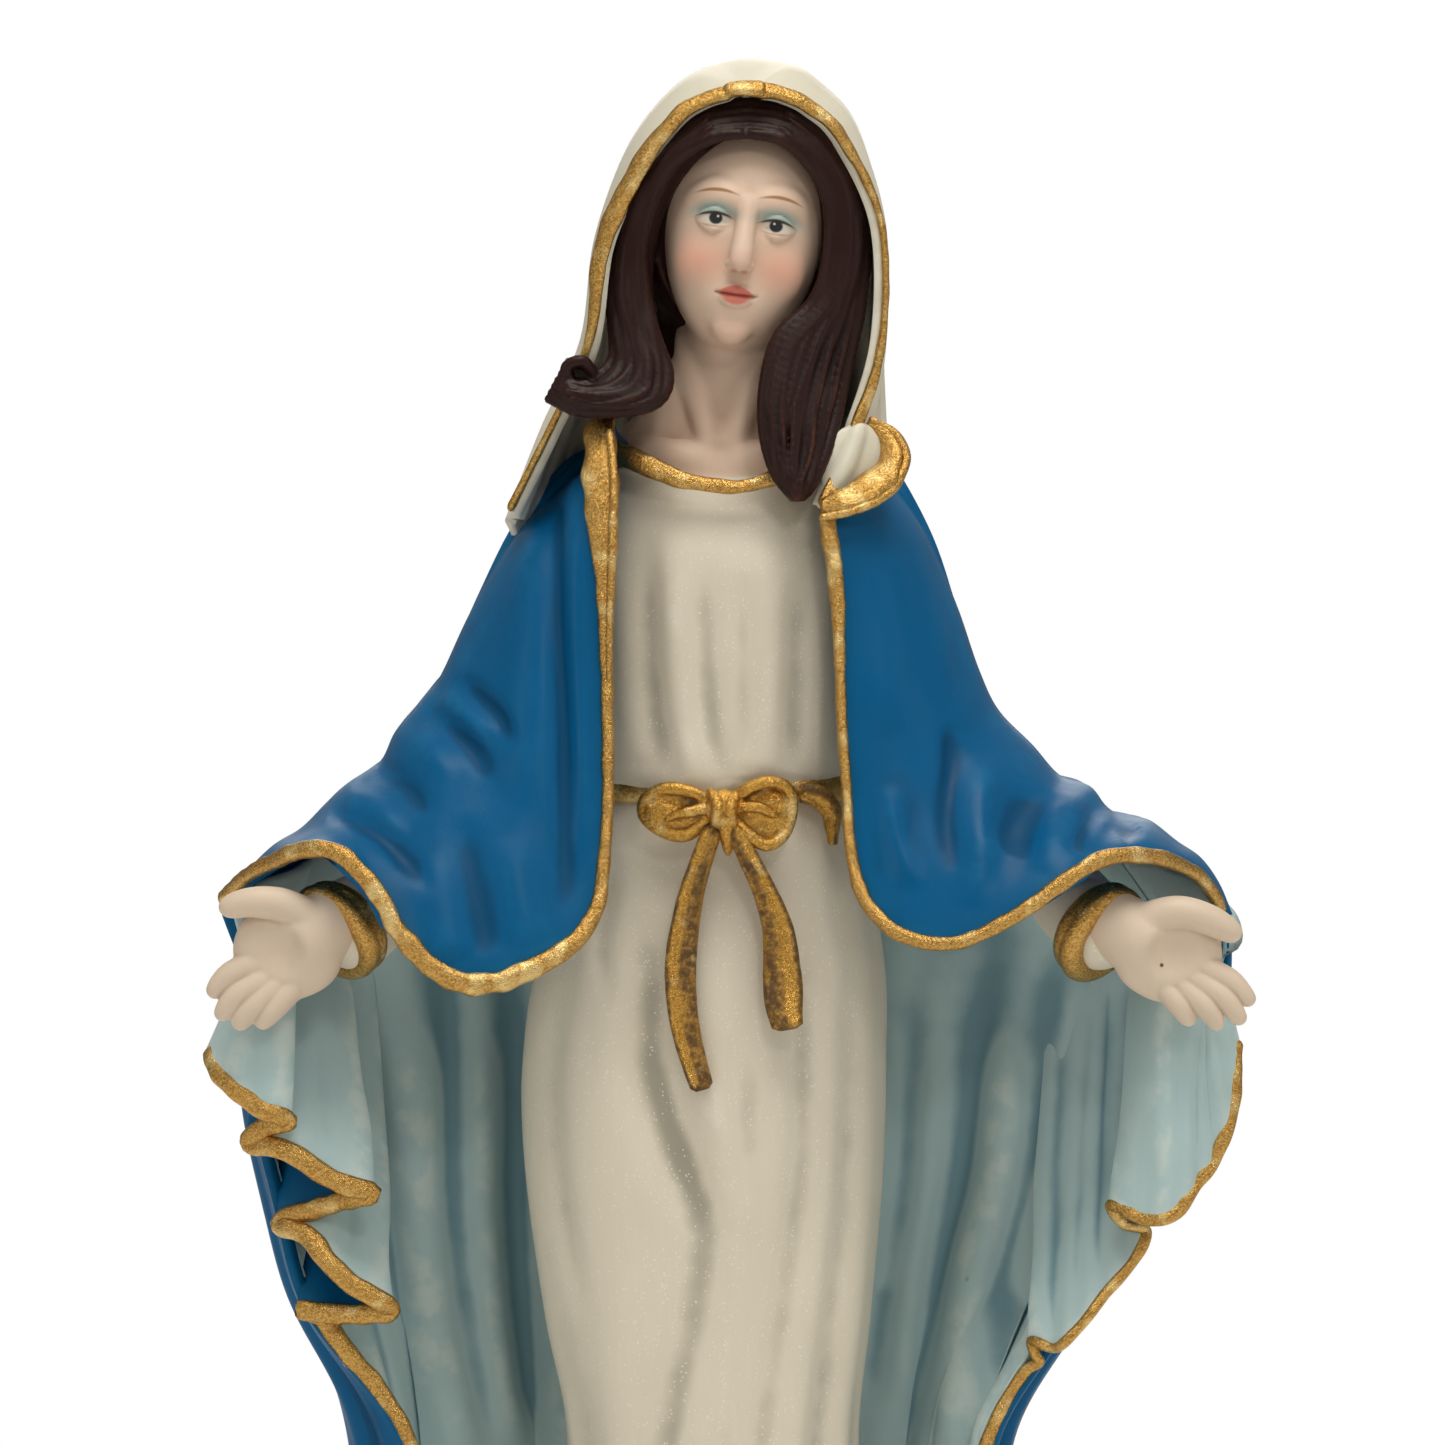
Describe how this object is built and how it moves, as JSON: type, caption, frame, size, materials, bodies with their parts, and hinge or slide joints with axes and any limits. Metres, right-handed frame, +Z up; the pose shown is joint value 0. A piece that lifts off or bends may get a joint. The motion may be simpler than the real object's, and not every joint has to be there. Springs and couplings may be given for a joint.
{
  "type": "madonna statue",
  "caption": "Standing robed Madonna with a mantle, veil, sash and open lowered hands, on a low mound and a round plinth.",
  "frame": {"origin": "centre of the bounding box's footprint, at the underside of the felt pad", "axes": "+Z up; the figure faces -Y; +X is to the figure's left, the viewer's right"},
  "size_m": [0.1056, 0.066, 0.203],
  "materials": {
    "felt": "matt felt",
    "base": "matt painted resin, the look of stone",
    "cloud": "matt painted resin",
    "pearl_white": "satin paint with fine pearl sparkle",
    "veil_white": "satin paint",
    "mantle_blue": "semi-gloss brushed paint",
    "lining_blue": "airbrushed satin paint",
    "gold": "brushed-on metallic gold paint",
    "skin": "satin flesh-coloured paint, features painted by hand",
    "hair": "semi-gloss dark brown paint"
  },
  "bodies": {
    "root": {"felt_pad": "felt", "plinth": "base", "cloud_mound": "cloud", "skirt": "pearl_white", "bodice": "pearl_white", "head": "skin", "neckline_trim": "gold", "waist_sash": "gold", "bow_knot": "gold", "sash_end": "gold", "hair_crown": "hair", "veil_trim": "gold", "veil_end_fold": "gold", "veil": "veil_white", "mantle_hem_trim": "gold", "mantle_back": "mantle_blue", "mantle_lining": "lining_blue", "right_foot": "skin", "right_bow_loop": "gold", "right_bow_tail": "gold", "right_hair_lock": "hair", "right_sleeve": "pearl_white", "right_cuff": "gold", "right_hand": "skin", "right_mantle_edge": "gold", "right_mantle_front": "mantle_blue", "right_pleat_edge": "gold", "right_mantle_pleats": "lining_blue", "left_foot": "skin", "left_bow_loop": "gold", "left_bow_tail": "gold", "left_hair_lock": "hair", "left_sleeve": "pearl_white", "left_cuff": "gold", "left_hand": "skin", "left_mantle_edge": "gold", "left_mantle_front": "mantle_blue", "left_pleat_edge": "gold", "left_mantle_pleats": "lining_blue"}
  },
  "joints": []
}
